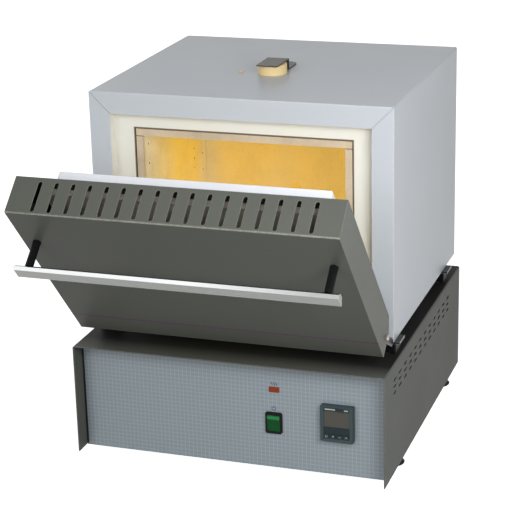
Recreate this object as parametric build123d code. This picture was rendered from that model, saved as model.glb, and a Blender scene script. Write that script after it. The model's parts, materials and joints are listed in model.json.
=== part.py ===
from build123d import *
import os
from math import cos, radians, sin

# Muffle furnace: a heated case on a control base, with a door that folds down.
# Lengths are in millimetres and angles in degrees. X runs to the right, Y runs to the back
# and Z runs up. While the pieces are made, Z starts at the bench and Y at the case's front
# face. At the end everything moves so that the origin lies under the middle of the whole.

# ---- sheet metal and fits ----
sheet = 1.5                 # case and base panels
thin_sheet = 1.2            # door panels
bend = 2.5                  # outside radius of a fold
seam = 0.4                  # slit left open at a mitred corner
panel_gap = 0.5             # play round a panel that is let into a shell
seat_gap = 0.3              # between pieces that rest on each other through a curved face
run_gap = 0.05              # radial play of a turning pin

# ---- control base ----
foot_height = 12.0
foot_radius = 13.0
foot_inset = 13.0           # foot axis from the hood's side
foot_edge = 1.5             # bevel round a foot's underside
foot_lip = 3.0              # height of a foot's wide rim
foot_taper = 3.5
front_foot_y = 26.0
rear_foot_inset = 60.0      # rear foot axis ahead of the hood's back
hood_margin = 8.0           # hood wider than the case on each side
hood_height = 149.0
hood_front = 76.0           # hood's front edge, ahead of the case
base_length = 433.0
panel_recess = 24.0         # control panel behind the hood's front edge
panel_thick = 2.0
panel_side_gap = 1.5
floor_lip = 14.0
floor_vent_columns = 4
floor_vent_rows = 5

side_slot_long = 15.0
side_slot_high = 3.8
side_slot_columns = 12
side_slot_pitch = 27.7
side_slot_rows = 3
side_slot_row_pitch = 9.0
side_slot_first_y = -25.0
side_slot_drop = 30.0       # middle row below the hood's top

# ---- case ----
stand_gap = 18.3            # open air between base and case
case_width = 400.0
case_height = 302.4
case_depth = 357.5
frame_border = 28.0
recess_depth = 15.0         # front collar behind the frame's face
collar_thick = 16.0
back_inset = 3.0

# ---- chamber ----
mouth_side = 55.7           # mouth's side edge in from the case's side
mouth_round = 1.5
mouth_top = 49.0            # mouth's upper edge below the case's top
mouth_bottom = 46.0         # mouth's lower edge above the case's underside
plate_thick = 9.0
plate_gap = 1.2
rear_space = 127.5          # from the chamber's back plate to the case's rear edge
hearth_thick = 8.0
hearth_side_gap = 8.0
hearth_end_gap = 12.0
hearth_round = 6.0
plate_hole = 1.5            # radius of the wire holes in the side plates
plate_hole_rows = ((34.0, (14.0, 40.0)), (198.0, (64.0, 78.0, 91.0)), (231.0, (79.0, 103.0)))
probe_radius = 4.0
probe_drop = 30.0           # below the middle of the mouth
probe_reach = 38.0          # ahead of the back plate

# ---- vent ----
vent_x = 0.0
vent_y = 145.0
vent_radius = 19.0
vent_bore = 7.0             # radius
vent_rise = 13.5
vent_cover_width = 29.0
vent_cover_reach = 24.0     # cover's front edge ahead of the vent's axis
vent_cover_thick = 1.6
vent_leg_gap = 6.0          # cover's leg behind the vent bush
vent_foot_length = 40.0
vent_screw_radius = 2.5
vent_screw_head = 4.6
vent_screw_head_high = 2.6
vent_screw_round = 1.2
port_x = -43.0
port_y = 144.0
port_radius = 4.0
port_rise = 1.2
port_bore = 1.2             # radius

# ---- door, in its closed place ----
hinge_y = -44.8             # pivot ahead of the case's front
hinge_z = 23.3              # pivot above the case's underside
door_margin = 1.5           # door wider than the case on each side
door_rise = 0.9             # door's upper edge above the case's top
door_depth = 50.0
door_below_hinge = 8.0
door_ahead_of_hinge = 24.0
door_corner_cut = 16.0
door_lip_clear = 17.0       # turned-in lip ends this far ahead of the pivot, clear of the arms
door_open = 41.8            # how far the door stands open
slot_count = 17
slot_pitch = 21.0
slot_width = 5.2
slot_length = 41.0
slot_setback = 24.0         # slot's middle behind the door's face
shield_setback = 41.0
shield_drop = 22.0
shield_inset = 29.5         # shield's side in from the door's side
plug_side_gap = 2.5         # plug's side inside the frame
plug_drop = 37.0            # plug's upper edge below the door's top
plug_bottom_gap = 10.0      # plug's lower edge above the frame's inner edge
plug_depth = 33.0
plug_round = 3.0

handle_end_inset = 3.5      # bar's end in from the door's side
handle_height = 23.0
handle_thick = 8.7
handle_drop = 64.5          # handle's middle below the door's upper edge
handle_bevel_deep = 2.6
handle_bevel_high = 5.0
handle_edge = 1.2
handle_tapped = 2.5         # depth of the screw hole in the bar
post_length = 35.0
post_radius = 5.0
post_flute = 0.7
post_flutes = 10
post_inset = 18.5           # post's axis in from the door's side
post_screw_radius = 2.0
post_screw_head_high = 2.4

pin_radius = 2.8
pin_head_radius = 3.8
pin_head_high = 3.5
pin_clip_thick = 1.5
pin_end = 0.5               # pin's end past its clip
arm_thick = 4.0
arm_gap = 1.0               # between the hinge arm and the door's side
arm_round = 6.5             # radius of the hinge arm round its pin
arm_root = 8.0              # length of the arm's foot, ahead of the case
arm_root_high = 4.0
flange_front = 1.0          # flange's front edge behind the case's face
flange_reach = 7.5          # flange's outer edge past the case's side

# ---- stand-offs between base and case ----
stand_block = 24.0
stand_inset = 10.0          # stand-off's axis in from the case's side
stand_front_y = 15.0
stand_rear_inset = 66.5     # rear stand-off's axis ahead of the case's rear edge
stand_round = 2.0
rear_plate_margin = 1.5
stand_plate = 3.0           # hinge bracket's flange under the case
washer_radius = 9.0
washer_thick = 1.6
stand_bolt_radius = 3.0
stand_bolt_play = 0.5
stand_bolt_head = 7.0
stand_bolt_head_high = 5.0

# ---- controls ----
control_inset = 66.5        # controller's middle in from the hood's right side
control_z = 94.5            # below the case's underside, as are the next two
control_width = 43.0
control_height = 49.0
control_proud = 9.0
control_body_width = 38.0
control_body_height = 43.0
control_body_depth = 72.0
window_width = 33.0
window_height = 22.0
window_up = 7.0
window_recess = 0.8
window_seat = 2.0
control_round = 2.0
control_bevel = 1.2
key_count = 4
key_width = 6.4
key_height = 5.0
key_pitch = 8.6
key_down = 16.0
key_proud = 1.2
key_gap = 0.3
key_well = 4.0              # depth of the well that a key sits in
key_travel_room = 1.4
key_round = 0.4
switch_x = 56.5
switch_z = 105.0
switch_width = 22.6
switch_height = 29.4
switch_bezel = 2.4
switch_round = 3.0
switch_edge = 1.0
switch_well = 11.0
switch_proud = 2.6
rocker_width = 16.0
rocker_height = 20.4
rocker_axis = 3.4           # pivot behind the bezel's face
rocker_end_gap = 0.9
rocker_tip = 4.2            # rocker's ends ahead of its axis
rocker_waist = 3.2
rocker_heel = 2.2           # behind its axis
rocker_side = 0.5
rocker_angle = 12.0
switch_depth = 20.0
lamp_x = 57.5
lamp_z = 59.0
lamp_width = 13.2
lamp_height = 6.6
lamp_proud = 2.2
lamp_depth = 16.0
lamp_lip = 1.0              # lens wider than its body on each side
lamp_round = 0.9

# ---- back of the base ----
inlet_inset = 58.0          # inlet's middle in from the hood's right side
inlet_z = 62.0
inlet_width = 32.0
inlet_height = 26.0
inlet_depth = 24.0
inlet_proud = 3.0
inlet_wall = 3.0
inlet_floor = 4.0
pin_places = ((-7.0, -2.0), (0.0, 2.0), (7.0, -2.0))
pin_half_width = 1.0
pin_half_height = 2.5
fuse_spacing = 58.0         # fuse holder from the inlet's middle
fuse_radius = 8.0
fuse_proud = 10.0
fuse_collar = 3.0
fuse_wall = 1.0
fuse_length = 25.0
fuse_slot_deep = 1.5
fuse_slot_wide = 1.6
louvre_count = 9
louvre_length = 90.0
louvre_high = 4.0
louvre_pitch = 9.5

# ---- places worked out from the sizes above ----
hood_width = case_width + 2 * hood_margin
hood_bottom = foot_height
hood_top = hood_bottom + hood_height
hood_back = base_length - hood_front
rear_foot_y = hood_back - rear_foot_inset
case_bottom = hood_top + stand_gap
case_top = case_bottom + case_height
panel_front = -hood_front + panel_recess
mouth_width = case_width - 2 * mouth_side
mouth_z0 = case_bottom + mouth_bottom
mouth_z1 = case_top - mouth_top
case_inner = case_width / 2 - sheet
frame_inner = case_width / 2 - frame_border
chamber_depth = case_depth - rear_space
stand_x = case_width / 2 - stand_inset
stand_rear_y = case_depth - stand_rear_inset
pivot_z = case_bottom + hinge_z
bolt_hole = stand_bolt_radius + stand_bolt_play
door_width = case_width + 2 * door_margin
door_front = hinge_y - door_ahead_of_hinge
door_back = door_front + door_depth
door_z0 = pivot_z - door_below_hinge
door_z1 = case_top + door_rise
handle_z = door_z1 - handle_drop
handle_length = door_width - 2 * handle_end_inset
post_spacing = door_width - 2 * post_inset
shield_width = door_width - 2 * shield_inset
plug_width = 2 * (frame_inner - plug_side_gap)
control_x = hood_width / 2 - control_inset
inlet_x = hood_width / 2 - inlet_inset
fuse_x = inlet_x - fuse_spacing
pivot_line = Axis((0, hinge_y, pivot_z), (1, 0, 0))

pieces = {}


def keep(name, shape):
    """Store one finished piece under its node name."""
    pieces[name] = shape


def box(x0, x1, y0, y1, z0, z1):
    """A plain block between two opposite corners."""
    block = Box(x1 - x0, y1 - y0, z1 - z0)
    return Pos((x0 + x1) / 2, (y0 + y1) / 2, (z0 + z1) / 2) * block


def along_y(sketch, y0, y1):
    """Push a sketch drawn in X and Z from y0 to y1."""
    back = Plane(origin=(0, y1, 0), x_dir=(1, 0, 0), z_dir=(0, -1, 0))
    return extrude(back * sketch, amount=y1 - y0)


def along_x(sketch, x0, x1):
    """Push a sketch drawn in Y and Z from x0 to x1."""
    side = Plane(origin=(x0, 0, 0), x_dir=(0, 1, 0), z_dir=(1, 0, 0))
    return extrude(side * sketch, amount=x1 - x0)


def along_z(sketch, z0, z1):
    """Push a sketch drawn in X and Y from z0 to z1."""
    return extrude(Plane.XY.offset(z0) * sketch, amount=z1 - z0)


def rectangle(u0, u1, v0, v1, round_by=0):
    """A rectangle between two corners, with rounded corners when asked."""
    if round_by:
        shape = RectangleRounded(u1 - u0, v1 - v0, round_by)
    else:
        shape = Rectangle(u1 - u0, v1 - v0)
    return Pos((u0 + u1) / 2, (v0 + v1) / 2) * shape


def spread(places, shape):
    """One sketch that holds a copy of the shape at each place."""
    return Sketch() + [place * shape for place in places]


def group(shapes):
    """Separate solids that share one node."""
    return Compound([solid for shape in shapes for solid in shape.solids()])


def folded_wrap(width, z0, z1, thick, radius):
    """Section of a sheet folded over the top and both sides, open below."""
    outer = rectangle(-width / 2, width / 2, z0 - radius, z1, radius)
    inner = rectangle(thick - width / 2, width / 2 - thick, z0 - radius, z1 - thick, radius - thick)
    below = rectangle(-width, width, z0 - 2 * radius, z0)
    return outer - inner - below


def rod_x(radius, x0, x1, y, z):
    """A round bar along X."""
    return along_x(Pos(y, z) * Circle(radius), x0, x1)


def rod_y(radius, x, z, y0, y1):
    """A round bar along Y."""
    return along_y(Pos(x, z) * Circle(radius), y0, y1)


def rod_z(radius, x, y, z0, z1):
    """A round bar along Z."""
    return along_z(Pos(x, y) * Circle(radius), z0, z1)


# ---- control base ----

def base_hood():
    """Folded hood with three rows of air slots in each side."""
    section = folded_wrap(hood_width, hood_bottom, hood_top, sheet, bend)
    hood = along_y(section, -hood_front, hood_back)
    slot_run = (side_slot_columns - 1) * side_slot_pitch
    places = GridLocations(side_slot_pitch, side_slot_row_pitch, side_slot_columns, side_slot_rows)
    slots = spread(places, SlotOverall(side_slot_long, side_slot_high))
    middle = Pos(side_slot_first_y + slot_run / 2, hood_top - side_slot_drop)
    cutter = along_x(middle * slots, -hood_width, hood_width)
    for x in (-stand_x, stand_x):
        for y in (stand_front_y, stand_rear_y):
            cutter += rod_z(bolt_hole, x, y, hood_top - bend, hood_top + bend)
    keep("base_hood", hood - cutter)


def base_floor():
    """Floor tray with a lip folded up on all four sides."""
    half = hood_width / 2 - sheet - panel_gap
    y0 = panel_front + panel_thick + panel_gap
    y1 = hood_back - sheet - panel_gap
    tray = box(-half, half, y0, y1, hood_bottom, hood_bottom + floor_lip)
    tray = fillet(tray.edges().group_by(Axis.Z)[0], bend)
    hollow = box(-half + sheet, half - sheet, y0 + sheet, y1 - sheet, hood_bottom + sheet, hood_top)
    tray -= hollow
    vent = GridLocations(2 * side_slot_pitch, side_slot_pitch, floor_vent_columns, floor_vent_rows)
    slots = Pos(0, (y0 + y1) / 2) * spread(vent, SlotOverall(2 * side_slot_long, 2 * side_slot_high))
    keep("base_floor", tray - along_z(slots, 0, hood_top))


def control_panel():
    """Front panel let into the hood, with openings for the controls."""
    half = hood_width / 2 - sheet - panel_side_gap
    top = hood_top - sheet - panel_gap
    plate = box(-half, half, panel_front, panel_front + panel_thick, hood_bottom, top)
    for x, z, wide, high in (
        (control_x, control_z, control_body_width, control_body_height),
        (switch_x, switch_z, switch_width - 2 * switch_bezel, switch_height - 2 * switch_bezel),
        (lamp_x, lamp_z, lamp_width - lamp_lip, lamp_height - lamp_lip),
    ):
        z = case_bottom - z
        hole = rectangle(x - wide / 2 - key_gap, x + wide / 2 + key_gap,
                         z - high / 2 - key_gap, z + high / 2 + key_gap)
        plate -= along_y(hole, panel_front - panel_thick, panel_front + 2 * panel_thick)
    keep("control_panel", plate)


def base_back():
    """Back panel of the base with louvres, a power inlet opening and a fuse hole."""
    half = hood_width / 2 - sheet - panel_gap
    top = hood_top - sheet - panel_gap
    plate = box(-half, half, hood_back - sheet, hood_back, hood_bottom, top)
    rows = GridLocations(1, louvre_pitch, 1, louvre_count)
    louvres = spread(rows, SlotOverall(louvre_length, louvre_high))
    middle = Pos(-louvre_length, (hood_bottom + hood_top) / 2)
    cutter = along_y(middle * louvres, hood_back - bend, hood_back + 1)
    inlet = rectangle(inlet_x - inlet_width / 2, inlet_x + inlet_width / 2,
                      inlet_z - inlet_height / 2, inlet_z + inlet_height / 2)
    cutter += along_y(inlet, hood_back - bend, hood_back + 1)
    cutter += rod_y(fuse_radius - fuse_wall, fuse_x, inlet_z, hood_back - bend, hood_back + 1)
    keep("base_back", plate - cutter)


def power_inlet():
    """Appliance inlet: a flanged cup with three flat pins inside."""
    wide = inlet_width - 2 * key_gap
    high = inlet_height - 2 * key_gap
    face = hood_back + inlet_proud
    wall = inlet_wall
    flange = box(inlet_x - wide / 2 - wall, inlet_x + wide / 2 + wall, hood_back, face,
                 inlet_z - high / 2 - wall, inlet_z + high / 2 + wall)
    flange = fillet(flange.edges().filter_by(Axis.Y), bend)
    cup = box(inlet_x - wide / 2, inlet_x + wide / 2, face - inlet_depth, face,
              inlet_z - high / 2, inlet_z + high / 2)
    low = face - inlet_depth + inlet_floor
    hollow = box(inlet_x - wide / 2 + wall, inlet_x + wide / 2 - wall, low, face + 1,
                 inlet_z - high / 2 + wall, inlet_z + high / 2 - wall)
    keep("power_inlet", flange + cup - hollow)
    pins = []
    for dx, dz in pin_places:
        x = inlet_x + dx
        z = inlet_z + dz
        pins.append(box(x - pin_half_width, x + pin_half_width, low, face - inlet_floor,
                        z - pin_half_height, z + pin_half_height))
    keep("inlet_pins", group(pins))


def fuse_holder():
    """Fuse holder with a slotted cap, beside the inlet."""
    face = hood_back + fuse_collar
    end = hood_back + fuse_proud
    collar = rod_y(fuse_radius + 2 * fuse_wall, fuse_x, inlet_z, hood_back, face)
    barrel = rod_y(fuse_radius - fuse_wall - key_gap, fuse_x, inlet_z, hood_back - fuse_length, face)
    cap = rod_y(fuse_radius - 3 * fuse_wall, fuse_x, inlet_z, hood_back + fuse_wall, end)
    cap = fillet(cap.edges().filter_by(GeomType.CIRCLE).sort_by(Axis.Y)[-1], fuse_wall)
    half = fuse_slot_wide / 2
    slot = box(fuse_x - fuse_radius, fuse_x + fuse_radius, end - fuse_slot_deep, end + 1,
               inlet_z - half, inlet_z + half)
    keep("fuse_holder", collar + barrel + cap - slot)


def feet():
    """Four tapered rubber feet."""
    x_foot = hood_width / 2 - foot_inset
    profile = Polyline((0, 0), (foot_radius - foot_edge, 0), (foot_radius, foot_edge),
                       (foot_radius, foot_lip), (foot_radius - foot_taper, foot_lip + foot_edge),
                       (foot_radius - foot_taper, foot_height), (0, foot_height), close=True)
    foot = revolve(Plane.XZ * make_face(profile), Axis.Z)
    places = [Pos(x, y, 0) for x in (-x_foot, x_foot) for y in (front_foot_y, rear_foot_y)]
    keep("feet", group([place * foot for place in places]))


# ---- stand-offs and hinge brackets ----

def stand_offs():
    """Blocks and soft metal washers that carry the case over the base."""
    blocks = []
    washers = []
    bolts = []
    top = case_bottom - stand_plate
    for x in (-stand_x, stand_x):
        for y in (stand_front_y, stand_rear_y):
            block = box(x - stand_block / 2, x + stand_block / 2, y - stand_block / 2, y + stand_block / 2,
                        hood_top + washer_thick, top)
            block = fillet(block.edges().filter_by(Axis.Z), stand_round)
            bore = rod_z(bolt_hole, x, y, hood_top, case_bottom)
            blocks.append(block - bore)
            washers.append(rod_z(washer_radius, x, y, hood_top, hood_top + washer_thick) - bore)
            low = hood_top - sheet - seat_gap
            screw = rod_z(stand_bolt_radius, x, y, low, case_bottom + sheet - seat_gap)
            head = RegularPolygon(stand_bolt_head, 6)
            bolts.append(screw + along_z(Pos(x, y) * head, low - stand_bolt_head_high, low))
    keep("stand_off_bolts", group(bolts))
    keep("stand_off_blocks", group(blocks))
    keep("stand_off_washers", group(washers))


def hinge_bracket(name, side):
    """Flange under the case, folded up at the front into the arm that carries the door pin."""
    outer = door_width / 2 - thin_sheet - arm_gap
    inner = outer - arm_thick
    y1 = stand_front_y + stand_block / 2
    flange_in = stand_x - stand_block / 2
    low = case_bottom - stand_plate
    flange = box(flange_in, case_width / 2 + flange_reach, flange_front, y1, low, case_bottom)
    flange += box(inner, outer, -arm_root, y1, low, case_bottom)
    eye = Pos(hinge_y, pivot_z) * Circle(arm_round)
    root = rectangle(-arm_root, -seat_gap, low, case_bottom + arm_root_high)
    arm = along_x(make_hull(eye.edges() + root.edges()), inner, outer)
    bracket = flange + arm
    bracket -= rod_x(pin_radius + run_gap, inner - 1, outer + 1, hinge_y, pivot_z)
    bracket -= rod_z(bolt_hole, stand_x, stand_front_y, hood_top, case_bottom + 1)
    if side < 0:
        bracket = mirror(bracket, Plane.YZ)
    keep(name, bracket)


def rear_brackets():
    """Two flat plates between the case and the rear stand-offs."""
    plates = []
    for x in (-stand_x, stand_x):
        half = stand_block / 2
        margin = rear_plate_margin
        outer = case_width / 2 + flange_reach
        plate = box(stand_x - half, outer, stand_rear_y - half - margin, stand_rear_y + half + margin,
                    case_bottom - stand_plate, case_bottom)
        plate = plate if x > 0 else mirror(plate, Plane.YZ)
        plates.append(plate - rod_z(bolt_hole, x, stand_rear_y, hood_top, case_bottom + 1))
    keep("rear_stand_plates", group(plates))


# ---- case ----

def case_shell():
    """Sheet folded over top and sides, with mitred flanges folded in round the front."""
    wrap = along_y(folded_wrap(case_width, case_bottom, case_top, sheet, bend), 0, case_depth)
    outline = rectangle(-case_width / 2, case_width / 2, case_bottom, case_top, bend)
    window = rectangle(-frame_inner, frame_inner, case_bottom + frame_border, case_top - frame_border)
    flange = along_y(outline - window, 0, sheet)
    shell = wrap + flange
    corner = case_width / 2 - bend
    reach = frame_border - bend
    slit = Rectangle(reach * 1.4, seam)
    for sx, sz in ((1, 1), (-1, 1), (1, -1), (-1, -1)):
        x = sx * (corner - reach / 2)
        z = (case_bottom + case_top) / 2 + sz * (case_height / 2 - bend - reach / 2)
        shell -= along_y(Pos(x, z) * Rot(0, 0, 45 * sx * sz) * slit, -1, sheet / 2)
    shell -= rod_z(vent_radius + seat_gap, vent_x, vent_y, case_top - bend, case_top + 1)
    shell -= rod_z(port_radius - 1, port_x, port_y, case_top - bend, case_top + 1)
    screw_y = vent_screw_y()
    shell -= rod_z(vent_screw_radius, vent_x, screw_y, case_top - bend, case_top + 1)
    shell = fillet(front_edges(shell), sheet * 0.8)
    keep("case_shell", shell)


def front_edges(shell):
    """The outer edge of the shell's front face, which is a fold in the sheet."""
    found = []
    for edge in shell.edges().filter_by(lambda e: abs(e.center().Y) < 0.01):
        middle = edge.center()
        at_side = abs(abs(middle.X) - case_width / 2) < 0.01
        at_top = abs(middle.Z - case_top) < 0.01
        if at_side or at_top or (edge.geom_type == GeomType.CIRCLE and edge.radius > bend - 0.01):
            if middle.Z > case_bottom + bend:
                found.append(edge)
    return found


def case_bottom_pan():
    """Sheet tray that closes the case from below."""
    y0 = sheet + seat_gap
    y1 = case_depth - back_inset - sheet - seat_gap
    half = case_inner - seat_gap
    pan = box(-half, half, y0, y1, case_bottom, case_bottom + sheet)
    pan += box(-half, half, y1 - sheet, y1, case_bottom, case_bottom + floor_lip)
    for x in (-stand_x, stand_x):
        for y in (stand_front_y, stand_rear_y):
            pan -= rod_z(bolt_hole, x, y, hood_top, case_bottom + bend)
    keep("case_bottom_pan", pan)


def case_back_panel():
    """Back panel set inside the shell, with rows of louvres."""
    half = case_inner - seat_gap
    y1 = case_depth - back_inset
    panel = box(-half, half, y1 - sheet, y1, case_bottom + seat_gap, case_top - sheet - seat_gap)
    rows = GridLocations(2 * louvre_length, louvre_pitch, 2, louvre_count // 2)
    slots = spread(rows, SlotOverall(louvre_length, louvre_high))
    for z in (case_bottom + 2 * frame_border, case_top - 2 * frame_border):
        panel -= along_y(Pos(0, z) * slots, y1 - bend, y1 + 1)
    keep("case_back_panel", panel)


def insulation():
    """Fibre boards round the chamber and the collar at its mouth."""
    half = case_inner - seat_gap
    mouth = mouth_width / 2
    lining = mouth - plate_gap
    low = mouth_z0 + plate_gap
    high = mouth_z1 - plate_gap
    z0 = case_bottom + sheet + seat_gap
    z1 = case_top - sheet - seat_gap
    y0 = recess_depth
    y1 = y0 + collar_thick
    ring = rectangle(-half, half, z0, z1)
    mouth_hole = rectangle(-mouth, mouth, mouth_z0, mouth_z1, mouth_round)
    window = rectangle(-frame_inner, frame_inner, case_bottom + frame_border, case_top - frame_border)
    rim = along_y(ring - window, sheet + seat_gap, y1)
    keep("front_collar", rim + along_y(ring - mouth_hole, y0, y1))
    y2 = case_depth - back_inset - sheet - seat_gap
    back = y0 + chamber_depth
    keep("insulation_back", box(-half, half, back + plate_thick, y2 - sheet, z0, z1))
    y2 = back + plate_thick
    top = box(-half, half, y1, y2, high, z1)
    bush_hole = rod_z(vent_radius + seat_gap, vent_x, vent_y, high - 1, z1 + 1)
    keep("insulation_top", top - bush_hole)
    keep("insulation_bottom", box(-half, half, y1, y2, z0, low))
    keep("insulation_left", box(-half, -lining, y1, y2, low, high))
    keep("insulation_right", box(lining, half, y1, y2, low, high))


def element_plates():
    """Heating plates that line the chamber, with small wire holes in the sides."""
    half = mouth_width / 2 - plate_gap
    y0 = recess_depth + 1
    y1 = recess_depth + chamber_depth
    z0 = mouth_z0 + plate_gap
    z1 = mouth_z1 - plate_gap
    top = box(-half, half, y0, y1 - plate_gap, z1 - plate_thick, z1)
    top -= rod_z(vent_bore, vent_x, vent_y, z1 - 2 * plate_thick, case_top)
    keep("plate_top", top)
    keep("plate_bottom", box(-half, half, y0, y1 - plate_gap, z0, z0 + plate_thick))
    low = z0 + plate_thick
    high = z1 - plate_thick - plate_gap
    inner = half - plate_thick
    side = box(inner, half, y0, y1 - plate_gap, low, high)
    holes = []
    for y, drops in plate_hole_rows:
        for drop in drops:
            holes.append(rod_x(plate_hole, inner - 1, inner + plate_thick / 2, y, high - drop))
    side -= holes
    keep("plate_right", side)
    keep("plate_left", mirror(side, Plane.YZ))
    back = box(-half, half, y1, y1 + plate_thick, mouth_z0 + plate_gap, z1)
    probe_z = (mouth_z0 + mouth_z1) / 2 - probe_drop
    keep("plate_back", back - rod_y(probe_radius + run_gap, 0, probe_z, y1 - 1, y1 + 2 * plate_thick))
    shelf = inner - hearth_side_gap
    hearth = box(-shelf, shelf, y0 + hearth_end_gap, y1 - hearth_end_gap, low, low + hearth_thick)
    keep("hearth_plate", fillet(hearth.edges().filter_by(Axis.Z), hearth_round))
    probe = rod_y(probe_radius, 0, probe_z, y1 - probe_reach, y1 + plate_thick)
    keep("thermocouple", fillet(probe.edges().sort_by(Axis.Y)[0], probe_radius * 0.75))


# ---- vent ----

def vent_screw_y():
    """Middle of the vent cover's foot."""
    return vent_y + vent_radius + vent_leg_gap + vent_cover_thick + vent_foot_length / 2


def vent():
    """Ceramic bush, the folded strip that covers it and the screw that the strip turns on."""
    top = case_top + vent_rise
    low = mouth_z1 - plate_gap
    bush = rod_z(vent_radius, vent_x, vent_y, low, top)
    bush = fillet(bush.edges().sort_by(Axis.Z)[-1], 0.8)
    bore = rod_z(vent_bore, vent_x, vent_y, low - 1, top + 1)
    keep("vent_bush", bush - bore)
    thick = vent_cover_thick
    y0 = vent_y - vent_cover_reach
    leg = vent_y + vent_radius + vent_leg_gap
    low = case_top + seat_gap
    high = top + seat_gap
    end = leg + thick + vent_foot_length
    fold = [(y0, high), (y0, high + thick), (leg + thick, high + thick), (leg + thick, low + thick),
            (end, low + thick), (end, low), (leg, low), (leg, high)]
    half = vent_cover_width / 2
    strip = along_x(make_face(Polyline(*fold, close=True)), vent_x - half, vent_x + half)
    strip = fillet(strip.edges().filter_by(Axis.X).sort_by(Axis.Z)[-2:].sort_by(Axis.Y)[-1], thick)
    strip = fillet(strip.edges().filter_by(Axis.Z).sort_by(Axis.Y)[-2:], half * 0.7)
    screw_y = vent_screw_y()
    strip -= rod_z(vent_screw_radius + run_gap, vent_x, screw_y, case_top - 1, high)
    keep("vent_cover", strip)
    shank = rod_z(vent_screw_radius, vent_x, screw_y, case_top - sheet, low + thick + seat_gap)
    head_low = low + thick + seat_gap
    head = rod_z(vent_screw_head, vent_x, screw_y, head_low, head_low + vent_screw_head_high)
    head = fillet(head.edges().sort_by(Axis.Z)[-1], vent_screw_round)
    keep("vent_pivot_screw", shank + head)
    bead = rod_z(port_radius, port_x, port_y, case_top, case_top + port_rise)
    bead += rod_z(port_radius - 1 - run_gap, port_x, port_y, case_top - sheet, case_top)
    keep("port_bead", bead - rod_z(port_bore, port_x, port_y, case_top - bend, case_top + bend))


# ---- door, made shut and then swung open ----

def swing(shape):
    """Turn a door piece from its closed place to where it rests."""
    return shape.rotate(pivot_line, door_open)


def door_shell():
    """Folded pan: face, slotted top, two sides and a short turned-in bottom."""
    half = door_width / 2
    outline = make_face(Polyline(
        (door_front, door_z0), (door_front, door_z1), (door_back, door_z1),
        (door_back, door_z0 + door_corner_cut), (door_back - door_corner_cut, door_z0), close=True))
    solid = along_x(outline, -half, half)
    solid = fillet(solid.edges().filter_by(Axis.X).group_by(Axis.Y)[0], bend)
    t = thin_sheet
    lip_end = hinge_y - door_lip_clear
    hollow = make_face(Polyline(
        (door_front + t, door_z0 + t), (door_front + t, door_z1 - t), (door_back + 1, door_z1 - t),
        (door_back + 1, door_z0 - 1), (lip_end, door_z0 - 1), (lip_end, door_z0 + t), close=True))
    shell = solid - along_x(hollow, t - half, half - t)
    row = GridLocations(slot_pitch, 1, slot_count, 1)
    slots = spread(row, Rot(0, 0, 90) * SlotOverall(slot_length, slot_width))
    shell -= along_z(Pos(0, door_front + slot_setback) * slots, door_z1 - 2 * t, door_z1 + 1)
    shell -= rod_x(pin_radius, -half - 1, half + 1, hinge_y, pivot_z)
    for x in (-post_spacing / 2, post_spacing / 2):
        shell -= rod_y(post_screw_radius, x, handle_z, door_front - 1, door_front + bend)
    keep("door_shell", swing(shell))


def door_inside():
    """Heat shield, back plate and insulating plug."""
    t = thin_sheet
    half = door_width / 2 - t - seat_gap
    z0 = door_z0 + door_corner_cut
    arm_room = 3 * arm_gap + arm_thick
    narrow = half - arm_room
    plate = box(-narrow, narrow, door_back - t, door_back, z0, door_z1 - t)
    ear_z = pivot_z + 2 * arm_round
    plate += box(-half, half, door_back - t, door_back, ear_z, door_z1 - t)
    keep("door_back_plate", swing(plate))
    y = door_front + shield_setback
    top = door_z1 - shield_drop
    side = shield_width / 2
    shield = box(-side, side, y, y + t, z0, top)
    shield += box(-side, side, y, door_back - t, z0, z0 + t)
    shield += box(-side, side, y, door_back - t, top - t, top)
    keep("door_shield", swing(shield))
    low = case_bottom + frame_border + plug_bottom_gap
    plug = box(-plug_width / 2, plug_width / 2, door_back, door_back + plug_depth, low, door_z1 - plug_drop)
    plug = fillet(plug.edges().filter_by(Axis.Y), plug_round)
    plug = fillet(plug.faces().sort_by(Axis.Y)[-1].edges(), plug_round * 0.7)
    keep("door_plug", swing(plug))


def handle():
    """Flat-faced bar on two fluted posts, each held by a screw from inside the door."""
    z = handle_z
    back = door_front - post_length
    front = back - handle_thick
    low = z - handle_height / 2
    high = z + handle_height / 2
    edge = Polyline((back, high - handle_height * 0.38), (front + handle_bevel_deep, high),
                    (front, high - handle_bevel_high), (front, low + handle_edge),
                    (front + handle_edge, low), (back, low + handle_height * 0.32))
    arc = Line(edge @ 1, edge @ 0)
    bar = along_x(make_face(edge + arc), -handle_length / 2, handle_length / 2)
    for x in (-post_spacing / 2, post_spacing / 2):
        bar -= rod_y(post_screw_radius, x, z, back - handle_tapped, back + 1)
    keep("handle_bar", swing(bar))
    flutes = spread(PolarLocations(post_radius + post_flute * 0.2, post_flutes), Circle(post_flute))
    section = Circle(post_radius) - flutes - Circle(post_screw_radius)
    for name, x in (("handle_post_left", -post_spacing / 2), ("handle_post_right", post_spacing / 2)):
        post = along_y(Pos(x, z) * section, back, door_front)
        keep(name, swing(post))
    screws = []
    for x in (-post_spacing / 2, post_spacing / 2):
        inside = door_front + thin_sheet
        screw = rod_y(post_screw_radius, x, z, back - handle_tapped, inside)
        screw += rod_y(2 * post_screw_radius, x, z, inside, inside + post_screw_head_high)
        screws.append(swing(screw))
    keep("handle_screws", group(screws))


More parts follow.
